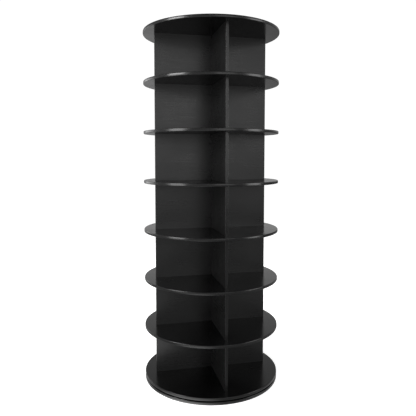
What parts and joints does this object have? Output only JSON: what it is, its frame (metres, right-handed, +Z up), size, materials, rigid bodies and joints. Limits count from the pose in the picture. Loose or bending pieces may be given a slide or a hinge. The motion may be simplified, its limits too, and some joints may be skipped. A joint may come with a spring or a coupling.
{
  "type": "rotating shoe tower",
  "caption": "Tall round shoe tower: disc shelves with crossed upright panels between them, open all round, turning as one on a ring bearing in the base disc.",
  "frame": {"origin": "centre of the footprint on the floor, on the axis about which the tower turns", "axes": "+Z up along the turning axis; the main panels stand along X and the dividers along Y; the front faces -Y"},
  "size_m": [0.5999, 0.6, 1.5444],
  "materials": {
    "black_laminate_board": "satin black laminate on particleboard, faint fine grain",
    "black_laminate_panel": "satin black laminate on particleboard, faint grain along its longer side",
    "black_edging": "semi-gloss black plastic edging",
    "pad_rubber": "matt black rubber",
    "bearing_ring_aluminium": "turned aluminium",
    "ball_steel": "polished steel balls",
    "cage_plastic": "natural nylon",
    "zinc_screw_steel": "zinc-plated steel",
    "black_screw_steel": "blackened steel",
    "beech_dowel": "plain beech, fluted and chamfered",
    "cap_plastic": "matt black plastic"
  },
  "bodies": {
    "base": {"base_disc": "black_laminate_board", "base_edging": "black_edging", "rubber_pads": "pad_rubber", "bearing_outer_ring": "bearing_ring_aluminium", "outer_ring_screws": "zinc_screw_steel"},
    "cage": {"ball_cage": "cage_plastic", "bearing_balls": "ball_steel"},
    "tower": {"bearing_inner_ring": "bearing_ring_aluminium", "inner_ring_screws": "zinc_screw_steel", "shelf_1": "black_laminate_board", "shelf_1_edging": "black_edging", "shelf_2": "black_laminate_board", "shelf_2_edging": "black_edging", "shelf_3": "black_laminate_board", "shelf_3_edging": "black_edging", "shelf_4": "black_laminate_board", "shelf_4_edging": "black_edging", "shelf_5": "black_laminate_board", "shelf_5_edging": "black_edging", "shelf_6": "black_laminate_board", "shelf_6_edging": "black_edging", "shelf_7": "black_laminate_board", "shelf_7_edging": "black_edging", "top_board": "black_laminate_board", "top_board_edging": "black_edging", "main_panel_1": "black_laminate_panel", "front_divider_1": "black_laminate_panel", "rear_divider_1": "black_laminate_panel", "panel_edging_1": "black_edging", "main_panel_2": "black_laminate_panel", "front_divider_2": "black_laminate_panel", "rear_divider_2": "black_laminate_panel", "panel_edging_2": "black_edging", "main_panel_3": "black_laminate_panel", "front_divider_3": "black_laminate_panel", "rear_divider_3": "black_laminate_panel", "panel_edging_3": "black_edging", "main_panel_4": "black_laminate_panel", "front_divider_4": "black_laminate_panel", "rear_divider_4": "black_laminate_panel", "panel_edging_4": "black_edging", "main_panel_5": "black_laminate_panel", "front_divider_5": "black_laminate_panel", "rear_divider_5": "black_laminate_panel", "panel_edging_5": "black_edging", "main_panel_6": "black_laminate_panel", "front_divider_6": "black_laminate_panel", "rear_divider_6": "black_laminate_panel", "panel_edging_6": "black_edging", "main_panel_7": "black_laminate_panel", "front_divider_7": "black_laminate_panel", "rear_divider_7": "black_laminate_panel", "panel_edging_7": "black_edging", "shelf_screws": "zinc_screw_steel", "divider_screws": "black_screw_steel", "dowels": "beech_dowel", "screw_caps": "cap_plastic"}
  },
  "joints": [
    {"name": "tower_spin", "type": "hinge", "parent": "base", "child": "tower", "pos_m": [0, 0, 0.0167], "axis": [0, 0, 1], "continuous": true},
    {"name": "cage_spin", "type": "hinge", "parent": "base", "child": "cage", "pos_m": [0, 0, 0.0167], "axis": [0, 0, 1], "continuous": true}
  ],
  "couplings": [
    {"joint": "cage_spin", "follows": "tower_spin", "ratio": 0.5}
  ]
}
